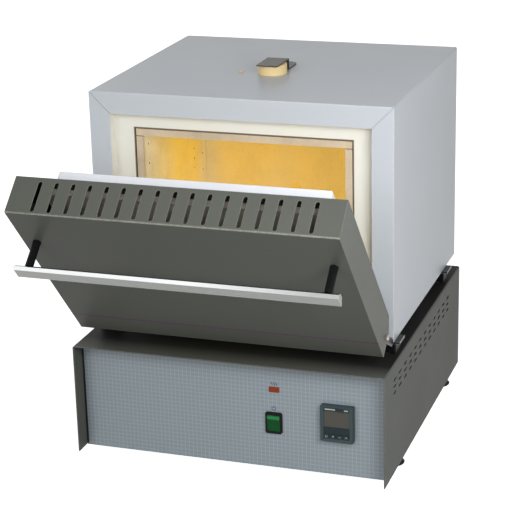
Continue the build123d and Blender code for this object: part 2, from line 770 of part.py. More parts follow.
def hinge_pin(name, side):
    """Shouldered rivet, fast in the door's side and free to turn in the hinge arm."""
    half = door_width / 2
    inner = half - thin_sheet - arm_gap - arm_thick
    clip_out = inner - pin_end
    clip_in = clip_out - pin_clip_thick
    pin = rod_x(pin_radius, clip_in - pin_end, half, hinge_y, pivot_z)
    head = rod_x(pin_head_radius, half, half + pin_head_high, hinge_y, pivot_z)
    head = fillet(head.edges().sort_by(Axis.X)[-1], pin_head_high * 0.6)
    clip = rod_x(pin_head_radius, clip_in, clip_out, hinge_y, pivot_z)
    pin = pin + head + clip
    if side < 0:
        pin = mirror(pin, Plane.YZ)
    keep(name, swing(pin))


# ---- controls ----

def controller():
    """Panel controller: bezel, body, window and a row of keys."""
    z = case_bottom - control_z
    front = panel_front - control_proud
    bezel = along_y(rectangle(control_x - control_width / 2, control_x + control_width / 2,
                              z - control_height / 2, z + control_height / 2, control_round),
                    front, panel_front)
    bezel = chamfer(bezel.faces().sort_by(Axis.Y)[0].edges(), control_bevel)
    half = window_width / 2
    middle = z + window_up
    low = middle - window_height / 2
    high = middle + window_height / 2
    seat = front + window_seat
    bezel -= box(control_x - half, control_x + half, front - 1, seat, low, high)
    row = control_x - (key_count - 1) * key_pitch / 2
    for i in range(key_count):
        x = row + i * key_pitch
        bezel -= box(x - key_width / 2 - key_gap, x + key_width / 2 + key_gap, front - 1, front + key_well,
                     z - key_down - key_height / 2 - key_gap, z - key_down + key_height / 2 + key_gap)
        key = box(x - key_width / 2, x + key_width / 2, front - key_proud, front + key_well - key_travel_room,
                  z - key_down - key_height / 2, z - key_down + key_height / 2)
        keep("key_" + str(i + 1), fillet(key.faces().sort_by(Axis.Y)[0].edges(), key_round))
    keep("controller_bezel", bezel)
    keep("controller_window", box(control_x - half, control_x + half, front + window_recess, seat, low, high))
    wide = control_body_width / 2
    tall = control_body_height / 2
    keep("controller_body", box(control_x - wide, control_x + wide, panel_front,
                                panel_front + control_body_depth, z - tall, z + tall))


def power_switch():
    """Rocker switch: rounded bezel with a body behind the panel, and a rocker on its own axis."""
    z = case_bottom - switch_z
    front = panel_front - switch_proud
    half = switch_width / 2
    tall = switch_height / 2
    body_x = half - switch_bezel
    body_z = tall - switch_bezel
    outline = rectangle(switch_x - half, switch_x + half, z - tall, z + tall, switch_round)
    bezel = along_y(outline, front, panel_front)
    bezel = fillet(bezel.faces().sort_by(Axis.Y)[0].edges(), switch_edge)
    bezel += box(switch_x - body_x, switch_x + body_x, panel_front, panel_front + switch_depth,
                 z - body_z, z + body_z)
    wide = rocker_width / 2 + key_gap
    high = rocker_height / 2 + rocker_end_gap
    bezel -= box(switch_x - wide, switch_x + wide, front - 1, front + switch_well, z - high, z + high)
    keep("switch_bezel", bezel)
    axis_y = front + rocker_axis
    reach = rocker_height / 2
    side = axis_y - rocker_side
    tip = axis_y - rocker_tip
    crown = Polyline((axis_y + rocker_heel, z), (side, z - reach), (tip, z - reach),
                     (axis_y - rocker_waist, z), (tip, z + reach), (side, z + reach), close=True)
    rocker = along_x(make_face(crown), switch_x - rocker_width / 2, switch_x + rocker_width / 2)
    rocker += rod_x(rocker_heel, switch_x - rocker_width / 2, switch_x + rocker_width / 2, axis_y, z)
    turn = Axis((0, axis_y, z), (1, 0, 0))
    keep("switch_rocker", rocker.rotate(turn, rocker_angle / 2))


def lamp():
    """Cycle lamp with a domed lens."""
    z = case_bottom - lamp_z
    front = panel_front - lamp_proud
    half = lamp_width / 2
    tall = lamp_height / 2
    lens = box(lamp_x - half, lamp_x + half, front, panel_front, z - tall, z + tall)
    lens = fillet(lens.faces().sort_by(Axis.Y)[0].edges(), lamp_round)
    keep("lamp_lens", lens)
    keep("lamp_body", box(lamp_x - half + lamp_lip, lamp_x + half - lamp_lip,
                          panel_front, panel_front + lamp_depth, z - tall + lamp_lip, z + tall - lamp_lip))


base_hood()
base_floor()
control_panel()
base_back()
power_inlet()
fuse_holder()
feet()
stand_offs()
hinge_bracket("hinge_bracket_left", -1)
hinge_bracket("hinge_bracket_right", 1)
rear_brackets()
case_shell()
case_bottom_pan()
case_back_panel()
insulation()
element_plates()
vent()
door_shell()
door_inside()
handle()
hinge_pin("hinge_pin_left", -1)
hinge_pin("hinge_pin_right", 1)
controller()
power_switch()
lamp()

# ---- put the origin under the middle of the whole and write the files ----
boxes = [shape.bounding_box() for shape in pieces.values()]
rear = max(found.max.Y for found in boxes)
front = min(found.min.Y for found in boxes)
bench = min(found.min.Z for found in boxes)
centre_y = (front + rear) / 2
to_origin = Pos(0, -centre_y, -bench)
os.makedirs("parts", exist_ok=True)
for name, shape in pieces.items():
    export_step(to_origin * shape, "parts/" + name + ".step")
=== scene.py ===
import json
from math import cos, pi, radians, sin

import bpy
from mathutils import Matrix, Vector


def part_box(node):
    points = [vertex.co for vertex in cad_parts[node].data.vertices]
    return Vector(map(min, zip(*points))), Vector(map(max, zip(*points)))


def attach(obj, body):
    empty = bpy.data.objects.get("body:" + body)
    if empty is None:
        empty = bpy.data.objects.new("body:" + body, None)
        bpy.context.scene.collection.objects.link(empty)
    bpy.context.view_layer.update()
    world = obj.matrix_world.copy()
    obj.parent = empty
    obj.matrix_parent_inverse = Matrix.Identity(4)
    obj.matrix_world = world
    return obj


bl_info = {
    "name": "Muffle Furnace",
    "version": (1, 0, 0),
    "blender": (4, 5, 0),
    "location": "View3D > Sidebar > Furnace",
    "description": "Finishes, printed marks, screws and stage for a bench muffle furnace",
    "category": "Object",
}

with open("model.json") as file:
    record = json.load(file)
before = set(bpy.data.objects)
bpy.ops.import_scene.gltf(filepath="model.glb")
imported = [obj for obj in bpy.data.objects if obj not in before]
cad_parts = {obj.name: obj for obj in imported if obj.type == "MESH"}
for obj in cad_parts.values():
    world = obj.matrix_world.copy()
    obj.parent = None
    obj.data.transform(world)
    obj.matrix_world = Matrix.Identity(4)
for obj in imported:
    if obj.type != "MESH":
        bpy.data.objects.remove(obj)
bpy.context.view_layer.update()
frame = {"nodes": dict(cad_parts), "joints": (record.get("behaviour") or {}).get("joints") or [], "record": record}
bpy.ops.object.select_all(action="DESELECT")

MM = 0.001

# ---- camera ----
CAMERA_PLACE = (0.68741, -2.01190, 0.97802)
CAMERA_TURN = (71.26235, 1.37734, 18.40315)
CAMERA_LENS = 120.67
SENSOR_WIDTH = 36.0

# ---- door's own directions at rest ----
HINGE = next(joint for joint in frame["joints"] if joint["name"] == "door_hinge")
DOOR_OPEN = radians(-HINGE["range_deg"][0])
DOOR_PIVOT = Vector(HINGE["pos_m"])
DOOR_BELOW_PIVOT = 8.0 * MM
DOOR_AHEAD_OF_PIVOT = 24.0 * MM

# ---- masks that mark a face or an edge ----
SKIN = 0.1 * MM       # how far behind a face its mask starts
FADE = 0.3 * MM       # how far behind it the mask ends

# ---- where finishes change ----
HOOD_SHADE_FROM = -134.0 * MM     # painted shade: the hood's top darkens from here, under the door
HOOD_SHADE_TO = -98.0 * MM
HOOD_SHADE = 0.88                 # share of the painted shade colour there
HOOD_INSIDE = 1.2 * MM           # the hood's inner faces lie deeper than this in its sides
HOLLOW_SOFT = 0.4 * MM
FOLD_HIGHLIGHT_FULL = 0.8 * MM              # width of the painted highlight strip along the door's fold
FOLD_HIGHLIGHT_END = 2.0 * MM               # and where it has faded out
HANDLE_RIDGE = 2.6 * MM          # depth of the handle's front bevel
HANDLE_BEVEL = 5.6 * MM          # height of the handle's slope that carries the painted highlight
HANDLE_SOFT = 0.8 * MM
MOUTH_LINE_SOFT = 0.4 * MM
PAINTED_GLOW_FROM = 3.0 * MM             # painted light: the chamber's sides start to glow this far in
PAINTED_GLOW_FULL = 110.0 * MM           # and glows fully from here
CORNER_FROM = (45.0 * MM, 30.0 * MM)   # painted shade in the corners: ahead of the back wall, from the side wall
CORNER_FULL = (20.0 * MM, 4.0 * MM)
CORNER_SHADE = 0.55
DARK_RIM = 0.6 * MM              # dark frame beside the controller's window
KEYS_DOWN = 15.5 * MM            # dark field below the window, round the keys
HEADER_UP = 5.0 * MM             # dark field above it
ROCKER_HIGHLIGHT = (5.2 * MM, 6.6 * MM)   # painted highlight on the upper part of the rocker
LENS_RIB = 0.6 * MM

# ---- printed marks ----
POWER_RING = 2.6 * MM
POWER_UP = 5.2 * MM          # middle of the power symbol above the switch
HEAT_WAVE = 0.7 * MM         # sideways swing of the heat symbol's lines
HEAT_PITCH = 3.0 * MM
HEAT_HIGH = 4.2 * MM
HEAT_UP = 2.2 * MM
WAVE_STEPS = 12
KEY_MARK = 1.2 * MM          # half width of a key's mark
KEY_LINE = 0.6 * MM
ROCKER_RING = 1.8 * MM
ROCKER_LINE = 0.7 * MM
ROCKER_RING_DOWN = 5.2 * MM
BAR_PROUD = 0.2 * MM
BAR_EDGE = 0.15 * MM

# ---- back screws ----
SCREW_HIGH = 2.2 * MM
SCREW_INSET = 12.0 * MM

# ---- stage ----
FLOOR_RADIUS = 9.0
FLOOR_PLAIN = (0.28, 0.28, 0.28)
FLOOR_SEEN = (0.9, 0.9, 0.9)
FLOOR_GLOW = 0.8
WORLD_LIGHT = 0.3
LAMP_AIM = Vector((0.0, 0.0, 0.25))
LAMPS = (  # name, place, side, watts, seen in reflections
    ("key", (-1.2, -2.8, 1.6), 1.6, 30.0, True),
    ("side", (0.7, -0.8, 0.7), 0.5, 8.4, False),
    ("front", (0.4, -3.0, 0.9), 1.4, 5.0, True),
    ("rear", (-2.0, 2.2, 1.0), 1.2, 10.0, True),
)


def colour(red, green, blue):
    """A colour given as 0-255 screen values, as the linear colour that shaders use."""
    return tuple(((c / 255 + 0.055) / 1.055) ** 2.4 if c > 10 else c / 255 / 12.92
                 for c in (red, green, blue))


# ---- nodes ----

def add(tree, kind, settings=None, **sockets):
    """Add one shader node, then set or wire the inputs that are named."""
    made = tree.nodes.new("ShaderNode" + kind)
    for key, value in (settings or {}).items():
        setattr(made, key, value)
    for key, value in sockets.items():
        plug(tree, value, made.inputs[key.replace("_", " ")])
    return made


def plug(tree, value, socket):
    """Wire a socket's value, or set it when it is a plain number or colour."""
    if isinstance(value, bpy.types.NodeSocket):
        tree.links.new(value, socket)
    elif isinstance(value, tuple) and len(value) == 3 and socket.type == "RGBA":
        socket.default_value = (*value, 1.0)
    else:
        socket.default_value = value


def sum_up(tree, operation, first, second=0.0, clamp=False):
    """One Math node's output."""
    made = add(tree, "Math", {"operation": operation, "use_clamp": clamp})
    plug(tree, first, made.inputs[0])
    plug(tree, second, made.inputs[1])
    return made.outputs[0]


def blend(tree, share, first, second, kind="MIX"):
    """Two colours blended by a share."""
    made = add(tree, "Mix", {"data_type": "RGBA", "blend_type": kind})
    plug(tree, share, made.inputs[0])
    plug(tree, first, made.inputs[6])
    plug(tree, second, made.inputs[7])
    return made.outputs[2]


def between(tree, value, low, high, to_low=0.0, to_high=1.0):
    """A value carried from one range to another and kept inside it."""
    made = add(tree, "MapRange", {"clamp": True}, Value=value, From_Min=low, From_Max=high,
               To_Min=to_low, To_Max=to_high)
    return made.outputs[0]


def band(tree, value, low, high, soft=0.0001):
    """A mask that is 1 between two values."""
    up = between(tree, value, low - soft, low + soft)
    down = between(tree, value, high - soft, high + soft, 1.0, 0.0)
    return sum_up(tree, "MULTIPLY", up, down)


def grain(tree, place, scale, detail=4.0, rough=0.55):
    """Noise on the given coordinates."""
    made = add(tree, "TexNoise", None, Vector=place, Scale=scale, Detail=detail, Roughness=rough)
    return made.outputs["Fac"]


def own_place(tree):
    """The surface's own coordinates, in metres."""
    return add(tree, "TexCoord").outputs["Object"]


def parts_of(tree, place):
    """The X, Y and Z of a vector."""
    made = add(tree, "SeparateXYZ", None, Vector=place)
    return made.outputs


# ---- shared effects ----

def effect(name, inputs, outputs):
    """An empty node group with named inputs and outputs."""
    group = bpy.data.node_groups.new(name, "ShaderNodeTree")
    for label, kind, value in inputs:
        socket = group.interface.new_socket(label, in_out="INPUT", socket_type="NodeSocket" + kind)
        socket.default_value = (*value, 1.0) if kind == "Color" else value
    for label, kind in outputs:
        group.interface.new_socket(label, in_out="OUTPUT", socket_type="NodeSocket" + kind)
    return group, group.nodes.new("NodeGroupInput").outputs, group.nodes.new("NodeGroupOutput").inputs


def use_effect(tree, name, **sockets):
    """Place a shared effect in a material with its own values."""
    made = tree.nodes.new("ShaderNodeGroup")
    made.node_tree = bpy.data.node_groups[name]
    for key, value in sockets.items():
        plug(tree, value, made.inputs[key.replace("_", " ")])
    return made.outputs


def make_edge_shading():
    """Mask of the folds and corners, for the painted highlight that runs along them."""
    inputs = (("Radius", "Float", 0.0012), ("Gain", "Float", 5.0), ("Break Up", "Float", 0.4))
    group, given, out = effect("Edge Shading", inputs, (("Edge", "Float"),))
    rounded = add(group, "Bevel", {"samples": 4}, Radius=given["Radius"]).outputs[0]
    flat = add(group, "NewGeometry").outputs["Normal"]
    same = add(group, "VectorMath", {"operation": "DOT_PRODUCT"})
    group.links.new(rounded, same.inputs[0])
    group.links.new(flat, same.inputs[1])
    turned = sum_up(group, "SUBTRACT", 1.0, same.outputs["Value"])
    edge = sum_up(group, "MULTIPLY", turned, given["Gain"], clamp=True)
    broken = grain(group, own_place(group), 160.0)
    broken = between(group, broken, 0.35, 0.65)
    keep = sum_up(group, "MULTIPLY", sum_up(group, "SUBTRACT", 1.0, broken), given["Break Up"])
    whole = sum_up(group, "SUBTRACT", 1.0, keep)
    group.links.new(sum_up(group, "MULTIPLY", edge, whole), out["Edge"])


def make_powder_coat():
    """Baked paint: faint mottling, orange peel and uneven gloss."""
    inputs = (("Color", "Color", (0.5, 0.5, 0.5)), ("Mottle", "Float", 0.06),
              ("Grain Scale", "Float", 900.0), ("Gloss", "Float", 0.3))
    outputs = (("Color", "Color"), ("Roughness", "Float"), ("Height", "Float"))
    group, given, out = effect("Powder Coat", inputs, outputs)
    place = own_place(group)
    cloud = grain(group, place, 14.0, 3.0)
    fine = grain(group, place, given["Grain Scale"], 2.0)
    light = sum_up(group, "MULTIPLY", sum_up(group, "SUBTRACT", cloud, 0.5), given["Mottle"])
    spots = sum_up(group, "MULTIPLY", sum_up(group, "SUBTRACT", fine, 0.5), given["Mottle"])
    value = sum_up(group, "ADD", 1.0, sum_up(group, "ADD", light, spots))
    made = add(group, "HueSaturation", None, Value=value, Color=given["Color"])
    group.links.new(made.outputs[0], out["Color"])
    uneven = sum_up(group, "MULTIPLY", sum_up(group, "SUBTRACT", cloud, 0.5), 0.12)
    group.links.new(sum_up(group, "ADD", given["Gloss"], uneven, clamp=True), out["Roughness"])
    group.links.new(fine, out["Height"])


def make_brushed():
    """Long fine scratches along one axis, as on drawn or brushed metal."""
    inputs = (("Color", "Color", (0.6, 0.6, 0.6)), ("Stretch", "Vector", (6.0, 900.0, 900.0)),
              ("Gloss", "Float", 0.3), ("Streaks", "Float", 0.2))
    outputs = (("Color", "Color"), ("Roughness", "Float"), ("Height", "Float"))
    group, given, out = effect("Brushed", inputs, outputs)
    made = add(group, "VectorMath", {"operation": "MULTIPLY"})
    group.links.new(own_place(group), made.inputs[0])
    group.links.new(given["Stretch"], made.inputs[1])
    lines = grain(group, made.outputs[0], 1.0, 3.0, 0.6)
    off = sum_up(group, "SUBTRACT", lines, 0.5)
    value = sum_up(group, "ADD", 1.0, sum_up(group, "MULTIPLY", off, given["Streaks"]))
    tint = add(group, "HueSaturation", None, Value=value, Color=given["Color"])
    group.links.new(tint.outputs[0], out["Color"])
    rough = sum_up(group, "ADD", given["Gloss"], sum_up(group, "MULTIPLY", off, 0.3), clamp=True)
    group.links.new(rough, out["Roughness"])
    group.links.new(lines, out["Height"])


def make_fibre():
    """Pressed fibre and fired ceramic: clouds, specks and small pits."""
    inputs = (("Color", "Color", (0.9, 0.9, 0.8)), ("Stain", "Color", (0.6, 0.5, 0.35)),
              ("Stain Share", "Float", 0.3), ("Speck Share", "Float", 0.3))
    group, given, out = effect("Fibre", inputs, (("Color", "Color"), ("Height", "Float")))
    place = own_place(group)
    cloud = between(group, grain(group, place, 22.0, 6.0, 0.6), 0.42, 0.68)
    fine = grain(group, place, 420.0, 4.0, 0.65)
    speck = between(group, fine, 0.62, 0.72)
    cloudy = sum_up(group, "MULTIPLY", cloud, given["Stain Share"])
    specked = sum_up(group, "MULTIPLY", speck, given["Speck Share"])
    first = blend(group, cloudy, given["Color"], given["Stain"])
    second = blend(group, specked, first, given["Stain"])
    group.links.new(second, out["Color"])
    group.links.new(fine, out["Height"])


# ---- materials ----

def finish(name, **constants):
    """A new material with its Principled shader's plain values set."""
    made = bpy.data.materials.new(name)
    made.use_nodes = True
    tree = made.node_tree
    shader = tree.nodes["Principled BSDF"]
    for key, value in constants.items():
        plug(tree, value, shader.inputs[key.replace("_", " ")])
    return made, tree, shader


def bump(tree, shader, height, strength, distance):
    """Feed a height to the shader's normal."""
    made = add(tree, "Bump", None, Strength=strength, Distance=distance, Height=height)
    tree.links.new(made.outputs[0], shader.inputs["Normal"])


def paint(name, base, edge, gloss, shine, painted_edge_share=0.5, mottle=0.06, grain_scale=900.0, radius=0.0014):
    """Baked paint with a painted highlight on its folds."""
    made, tree, shader = finish(name, Specular_IOR_Level=shine)
    coated = use_effect(tree, "Powder Coat", Color=base, Gloss=gloss, Mottle=mottle,
                        Grain_Scale=grain_scale)
    fold = use_effect(tree, "Edge Shading", Radius=radius)["Edge"]
    shade = blend(tree, sum_up(tree, "MULTIPLY", fold, painted_edge_share), coated["Color"], edge)
    tree.links.new(shade, shader.inputs["Base Color"])
    tree.links.new(coated["Roughness"], shader.inputs["Roughness"])
    bump(tree, shader, coated["Height"], 0.12, 0.0002)
    return made, tree, shader, shade


def metal(name, base, stretch, gloss, streaks=0.2, edge=(0.9, 0.9, 0.88), painted_edge_share=0.3):
    """Brushed or drawn metal with a painted highlight on its corners."""
    made, tree, shader = finish(name, Metallic=1.0)
    brushed = use_effect(tree, "Brushed", Color=base, Stretch=stretch, Gloss=gloss, Streaks=streaks)
    fold = use_effect(tree, "Edge Shading", Radius=0.0006)["Edge"]
    shade = blend(tree, sum_up(tree, "MULTIPLY", fold, painted_edge_share), brushed["Color"], edge)
    tree.links.new(shade, shader.inputs["Base Color"])
    tree.links.new(brushed["Roughness"], shader.inputs["Roughness"])
    bump(tree, shader, brushed["Height"], 0.08, 0.0001)
    return made, tree, shader


def moulded(name, base, gloss, edge, painted_edge_share=0.35, shine=0.15):
    """Moulded plastic or rubber with a fine spark grain and a painted highlight on its edges."""
    made, tree, shader = finish(name, Specular_IOR_Level=shine)
    coated = use_effect(tree, "Powder Coat", Color=base, Gloss=gloss, Mottle=0.12,
                        Grain_Scale=1800.0)
    fold = use_effect(tree, "Edge Shading", Radius=0.0005)["Edge"]
    shade = blend(tree, sum_up(tree, "MULTIPLY", fold, painted_edge_share), coated["Color"], edge)
    tree.links.new(shade, shader.inputs["Base Color"])
    tree.links.new(coated["Roughness"], shader.inputs["Roughness"])
    bump(tree, shader, coated["Height"], 0.15, 0.0001)
    return made, tree, shader, shade


def clay(name, base, stain, stain_share, speck_share, rough=0.9):
    """Fibre board or fired ceramic."""
    made, tree, shader = finish(name, Roughness=rough)
    made_of = use_effect(tree, "Fibre", Color=base, Stain=stain, Stain_Share=stain_share,
                         Speck_Share=speck_share)
    tree.links.new(made_of["Color"], shader.inputs["Base Color"])
    bump(tree, shader, made_of["Height"], 0.35, 0.0003)
    return made, tree, shader, made_of["Color"]


def door_up(point):
    """How far a point lies up the door's face from the pivot, with the door at rest."""
    return (point.z - DOOR_PIVOT.z) * cos(DOOR_OPEN) - (point.y - DOOR_PIVOT.y) * sin(DOOR_OPEN)


def door_back(point):
    """How far a point lies back through the door's depth from the pivot, with the door at rest."""
    return (point.y - DOOR_PIVOT.y) * cos(DOOR_OPEN) + (point.z - DOOR_PIVOT.z) * sin(DOOR_OPEN)


def door_place(tree):
    """Up the door's face and back through its depth, both from the pivot."""
    where = parts_of(tree, own_place(tree))
    y = sum_up(tree, "SUBTRACT", where["Y"], DOOR_PIVOT.y)
    z = sum_up(tree, "SUBTRACT", where["Z"], DOOR_PIVOT.z)
    up = sum_up(tree, "ADD", sum_up(tree, "MULTIPLY", z, cos(DOOR_OPEN)),
                sum_up(tree, "MULTIPLY", y, -sin(DOOR_OPEN)))
    back = sum_up(tree, "ADD", sum_up(tree, "MULTIPLY", y, cos(DOOR_OPEN)),
                  sum_up(tree, "MULTIPLY", z, sin(DOOR_OPEN)))
    return up, back


def cover(made, *slots):
    """Give every CAD node of these material slots this material."""
    for part in frame["record"]["subparts"]:
        if part["material_slot"] in slots:
            for place in frame["nodes"][part["node"]].material_slots:
                place.material = made


def cover_nodes(made, *names):
    """Give these CAD nodes this material."""
    for name in names:
        for place in frame["nodes"][name].material_slots:
            place.material = made


def shade_now(shader):
    """The socket that feeds the shader's colour so far."""
    return shader.inputs["Base Color"].links[0].from_socket


# ---- modelling ----

def active():
    """The object that the last operator made."""
    return bpy.context.view_layer.objects.active


def settle(piece, name, made, body):
    """Apply a piece's place, name it, paint it and let it ride on its body."""
    bpy.ops.object.select_all(action="DESELECT")
    piece.select_set(True)
    bpy.context.view_layer.objects.active = piece
    bpy.ops.object.transform_apply(location=True, rotation=True, scale=True)
    piece.name = name
    piece.data.name = name
    piece.data.materials.clear()
    piece.data.materials.append(made)
    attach(piece, body)
    piece.select_set(False)
    return piece


def ink(name, strokes, width, face_y, made, body, flatten=0.3):
    """Raised print on a face that looks forwards: each stroke is a run of X, Z points."""
    line = bpy.data.curves.new(name, "CURVE")
    line.dimensions = "3D"
    line.bevel_depth = width / 2
    line.bevel_resolution = 2
    line.use_fill_caps = True
    for points in strokes:
        run = line.splines.new("POLY")
        run.points.add(len(points) - 1)
        for point, (x, z) in zip(run.points, points):
            point.co = (x, 0.0, z, 1.0)
    drawn = bpy.data.objects.new(name, line)
    bpy.context.collection.objects.link(drawn)
    bpy.ops.object.select_all(action="DESELECT")
    drawn.select_set(True)
    bpy.context.view_layer.objects.active = drawn
    bpy.ops.object.convert(target="MESH")
    drawn = active()
    drawn.location.y = face_y
    drawn.scale.y = flatten
    return settle(drawn, name, made, body)


def arc(x, z, radius, start, end, steps=24):
    """Points on an arc, in degrees from straight up, clockwise."""
    turns = [radians(start + (end - start) * i / steps) for i in range(steps + 1)]
    return [(x + radius * sin(t), z + radius * cos(t)) for t in turns]


def bar(x0, x1, z0, z1, face_y, proud, edge):
    """A thin plate with rounded edges on a face that looks forwards."""
    bpy.ops.mesh.primitive_cube_add(size=1, location=((x0 + x1) / 2, face_y - proud / 2, (z0 + z1) / 2))
    plate = active()
    plate.scale = (x1 - x0, proud * 1.5, z1 - z0)
    bpy.ops.object.transform_apply(location=False, rotation=False, scale=True)
    soften(plate, edge, 2)
    return plate


def soften(piece, width, steps):
    """Bevel all sharp edges and apply it."""
    made = piece.modifiers.new("edges", "BEVEL")
    made.width = width
    made.segments = steps
    made.limit_method = "ANGLE"
    bpy.context.view_layer.objects.active = piece
    bpy.ops.object.modifier_apply(modifier=made.name)


def join(pieces):
    """Make several loose meshes one piece."""
    bpy.ops.object.select_all(action="DESELECT")
    for piece in pieces:
        piece.select_set(True)
    bpy.context.view_layer.objects.active = pieces[0]
    if len(pieces) > 1:
        bpy.ops.object.join()
    return active()


def cross_screw(radius, high):
    """A pan-head screw with a cross recess, looking backwards along +Y."""
    bpy.ops.mesh.primitive_cylinder_add(vertices=28, radius=radius, depth=high, location=(0, 0, 0),
                                        rotation=(-pi / 2, 0, 0))
    head = active()
    bpy.ops.object.transform_apply(location=False, rotation=True, scale=False)
    made = head.modifiers.new("dome", "BEVEL")
    made.width = high * 0.55
    made.segments = 3
    made.limit_method = "ANGLE"
    bpy.ops.object.modifier_apply(modifier=made.name)
    for wide, tall in ((1.1, 0.26), (0.26, 1.1)):
        bpy.ops.mesh.primitive_cube_add(size=1, location=(0, high / 2, 0))
        cutter = active()
        cutter.scale = (radius * wide, high * 0.8, radius * tall)
        bpy.ops.object.transform_apply(location=False, rotation=False, scale=True)
        cut = head.modifiers.new("cross", "BOOLEAN")
        cut.operation = "DIFFERENCE"
        cut.solver = "EXACT"
        cut.object = cutter
        bpy.context.view_layer.objects.active = head
        bpy.ops.object.modifier_apply(modifier=cut.name)
        bpy.data.objects.remove(cutter)
    bpy.ops.object.select_all(action="DESELECT")
    head.select_set(True)
    bpy.context.view_layer.objects.active = head
    return head


def copies(model, places):
    """Copies of one mesh at each place; the model itself goes to the first."""
    made = [model]
    for place in places[1:]:
        twin = model.copy()
        twin.data = model.data.copy()
        bpy.context.collection.objects.link(twin)
        twin.location = place
        made.append(twin)
    model.location = places[0]
    return made


# ---- sizes and colours that a user would change ----

def shade_of(label, text, values):
    """A colour property."""
    return bpy.props.FloatVectorProperty(name=label, description=text, subtype="COLOR", size=3,
                                         min=0.0, max=1.0, default=colour(*values))


def length_of(label, text, millimetres):
    """A length property."""
    return bpy.props.FloatProperty(name=label, description=text, unit="LENGTH", min=0.0,
                                   default=millimetres * MM)


class FurnaceColours(bpy.types.PropertyGroup):
    """Colours of the furnace's finishes"""
    case: shade_of("Case", "Light paint of the heated case", (190, 196, 202))
    # painted highlight along the case's folds
    case_fold_highlight: shade_of("Case folds", "Paint at the case's folded edges", (226, 231, 238))
    base: shade_of("Base", "Dark paint of the control base", (89, 91, 86))
    door: shade_of("Door", "Dark paint of the door", (95, 97, 91))
    # painted highlight along the folds of the base and the door
    dark_fold_highlight: shade_of("Dark folds", "Dark paint at its folded edges", (150, 152, 146))
    # painted highlight along the door's upper front fold
    door_fold_highlight: shade_of("Door fold", "Rubbed fold along the door's upper front edge", (196, 192, 178))
    stripe: shade_of("Stripe", "Thin stripe across the door", (108, 50, 104))
    panel: shade_of("Panel", "Ground colour of the control panel", (126, 136, 142))
    panel_grid: shade_of("Panel grid", "Fine lines printed on the control panel", (150, 161, 167))
    panel_ink: shade_of("Panel marks", "Marks printed on the control panel", (66, 50, 92))
    fibre: shade_of("Fibre collar", "Fibre board round the chamber's mouth", (226, 226, 218))
    brick: shade_of("Chamber lining", "Fired lining near the mouth", (206, 190, 164))
    plug: shade_of("Door plug", "Pressed board of the door's plug", (232, 235, 241))
    # painted light: warm colour emitted by the chamber's sides, which are no lamp
    glow: shade_of("Chamber glow", "Warm light on the chamber's sides", (138, 121, 10))
    # painted light: pale colour emitted just inside the chamber's mouth
    painted_mouth_light: shade_of("Mouth light", "Pale light on the chamber's sides near the mouth", (112, 116, 92))
    # painted light: warm colour emitted by the chamber's back and the probe
    painted_back_glow: shade_of("Back glow", "Warm light on the chamber's back", (131, 116, 42))
    rocker: shade_of("Rocker", "Power rocker", (12, 70, 30))
    lamp: shade_of("Lamp", "Cycle lamp's lens", (126, 40, 18))
    bush: shade_of("Vent bush", "Ceramic bush of the vent", (228, 204, 152))


class FurnaceSizes(bpy.types.PropertyGroup):
    """Sizes of printed marks and screws"""
    grid_pitch: length_of("Grid pitch", "Distance between the panel's printed lines", 5.5)
    grid_line: length_of("Grid line", "Width of a printed line", 0.9)
    # painted shade: black line on the panel's sides, where the gap beside the hood is in shadow
    panel_side_shade: length_of("Panel rim", "Width of the black line at the panel's sides", 1.6)
    mitre: length_of("Mitre line", "Width of the line where the case's front folds meet", 0.9)
    # a brown line painted on the collar round the chamber's mouth, beside the plates' edges
    mouth_line: length_of("Scorch", "Width of the brown line round the chamber's mouth", 2.6)
    stripe_up: length_of("Stripe height", "Stripe above the door's lower edge", 37.2)
    stripe_width: length_of("Stripe width", "Width of the door's stripe", 1.8)
    mark_line: length_of("Mark line", "Width of the lines of printed marks", 0.9)
    screw_head: length_of("Screw head", "Radius of the back panels' screws", 3.6)


def colours():
    """The scene's furnace colours."""
    return bpy.context.scene.furnace_colours


def sizes():
    """The scene's furnace sizes."""
    return bpy.context.scene.furnace_sizes


# ---- operators ----

class FURNACE_OT_effects(bpy.types.Operator):
    """Build the shared shader effects"""
    bl_idname = "furnace.effects"
    bl_label = "Shared effects"

    def execute(self, context):
        make_edge_shading()
        make_powder_coat()
        make_brushed()
        make_fibre()
        return {"FINISHED"}


class FURNACE_OT_case(bpy.types.Operator):
    """Paint the case, its back panel and its underside"""
    bl_idname = "furnace.case"
    bl_label = "Case paint"

    def execute(self, context):
        tone = colours()
        size = sizes()
        made, tree, shader, shade = paint("case_paint", tuple(tone.case), tuple(tone.case_fold_highlight), 0.36, 0.25,
                                          painted_edge_share=0.8, mottle=0.03, radius=0.0016)
        low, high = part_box("case_shell")
        where = parts_of(tree, own_place(tree))
        out = sum_up(tree, "SUBTRACT", high.x, sum_up(tree, "ABSOLUTE", where["X"]))
        middle = (low.z + high.z) / 2
        away = sum_up(tree, "ABSOLUTE", sum_up(tree, "SUBTRACT", where["Z"], middle))
        down = sum_up(tree, "SUBTRACT", high.z - middle, away)
        apart = sum_up(tree, "ABSOLUTE", sum_up(tree, "SUBTRACT", out, down))
        front = between(tree, where["Y"], low.y + SKIN, low.y + SKIN + FADE, 1.0, 0.0)
        line = between(tree, apart, size.mitre / 2, size.mitre, 0.7, 0.0)
        mitre = sum_up(tree, "MULTIPLY", line, front)
        tree.links.new(blend(tree, mitre, shade, colour(128, 134, 142)), shader.inputs["Base Color"])
        cover(made, "case_paint")
        made, tree, shader = metal("back_zinc", colour(150, 153, 154), (900.0, 900.0, 8.0), 0.42, 0.25)
        cloud = between(tree, grain(tree, own_place(tree), 60.0, 2.0), 0.4, 0.6, 0.85, 1.0)
        gray = add(tree, "CombineColor", None, Red=cloud, Green=cloud, Blue=cloud).outputs[0]
        spangled = blend(tree, 1.0, shade_now(shader), gray, "MULTIPLY")
        tree.links.new(spangled, shader.inputs["Base Color"])
        cover(made, "back_zinc")
        return {"FINISHED"}


